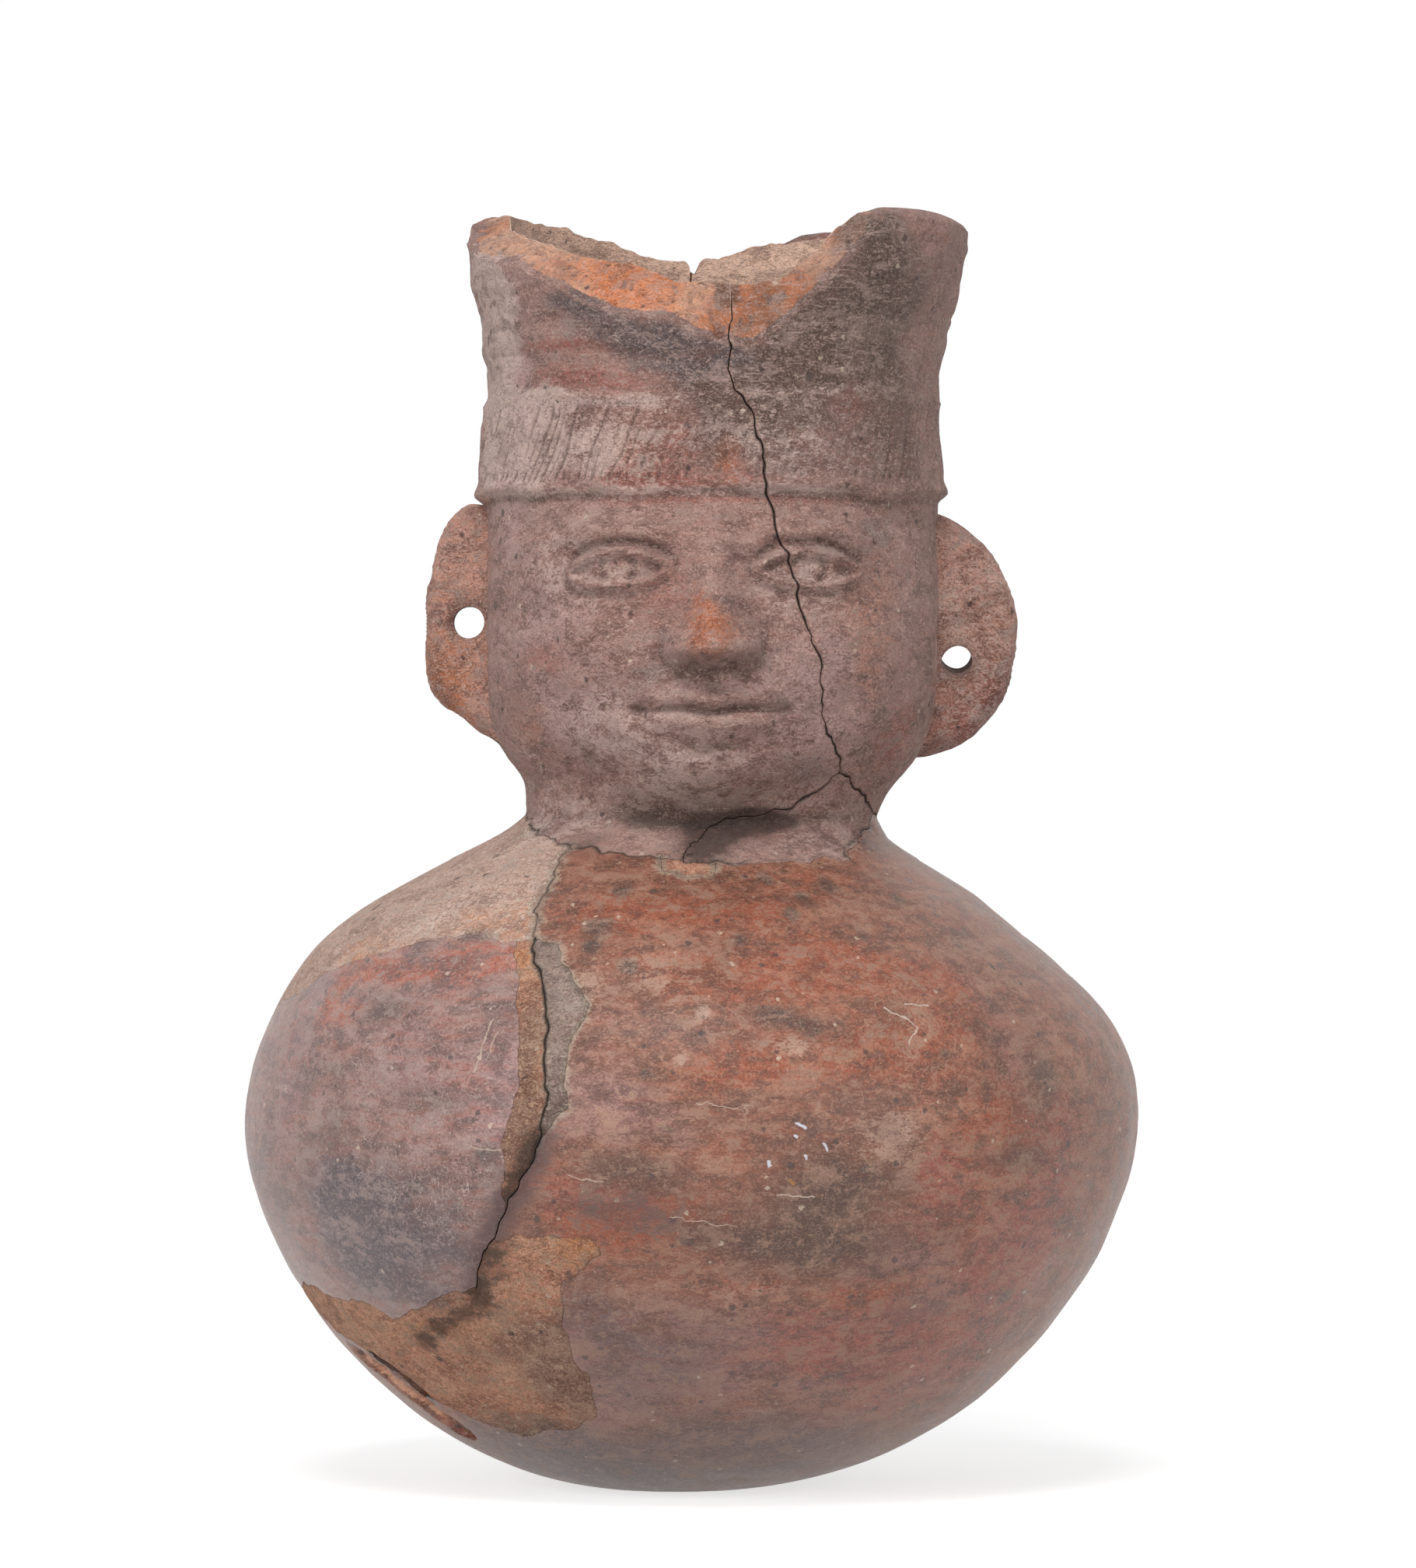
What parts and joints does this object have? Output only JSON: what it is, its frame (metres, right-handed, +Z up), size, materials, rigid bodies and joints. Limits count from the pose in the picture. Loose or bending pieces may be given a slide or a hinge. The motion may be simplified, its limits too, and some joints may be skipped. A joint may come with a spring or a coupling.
{
  "type": "face flask",
  "caption": "Hollow clay flask with a round body, a narrow neck and a modelled human head with pierced ears as its flaring, broken mouth, mended from sherds.",
  "frame": {"origin": "middle of the flat foot, on the surface that the flask stands on", "axes": "+Z up, towards the mouth; -Y towards the front, the way the face looks; +X towards the viewer's right"},
  "size_m": [0.1394, 0.1405, 0.1984],
  "materials": {
    "slip_red_brown": "burnished",
    "slip_mauve_grey": "burnished",
    "bare_pink_clay": "matt",
    "head_clay": "matt",
    "worn_ear_clay": "matt",
    "tan_fill": "rough",
    "grey_mortar": "rough"
  },
  "bodies": {
    "root": {"body_main_sherd": "slip_red_brown", "body_back_sherd": "slip_red_brown", "body_left_sherd": "slip_mauve_grey", "body_shoulder_sherd": "bare_pink_clay", "lower_left_fill": "tan_fill", "tan_join_fill": "tan_fill", "grey_join_mortar": "grey_mortar", "neck_seam_patch": "tan_fill", "neck_front_sherd": "head_clay", "head_left_sherd": "head_clay", "head_right_sherd": "head_clay", "left_ear": "worn_ear_clay", "right_ear": "worn_ear_clay"}
  },
  "joints": []
}
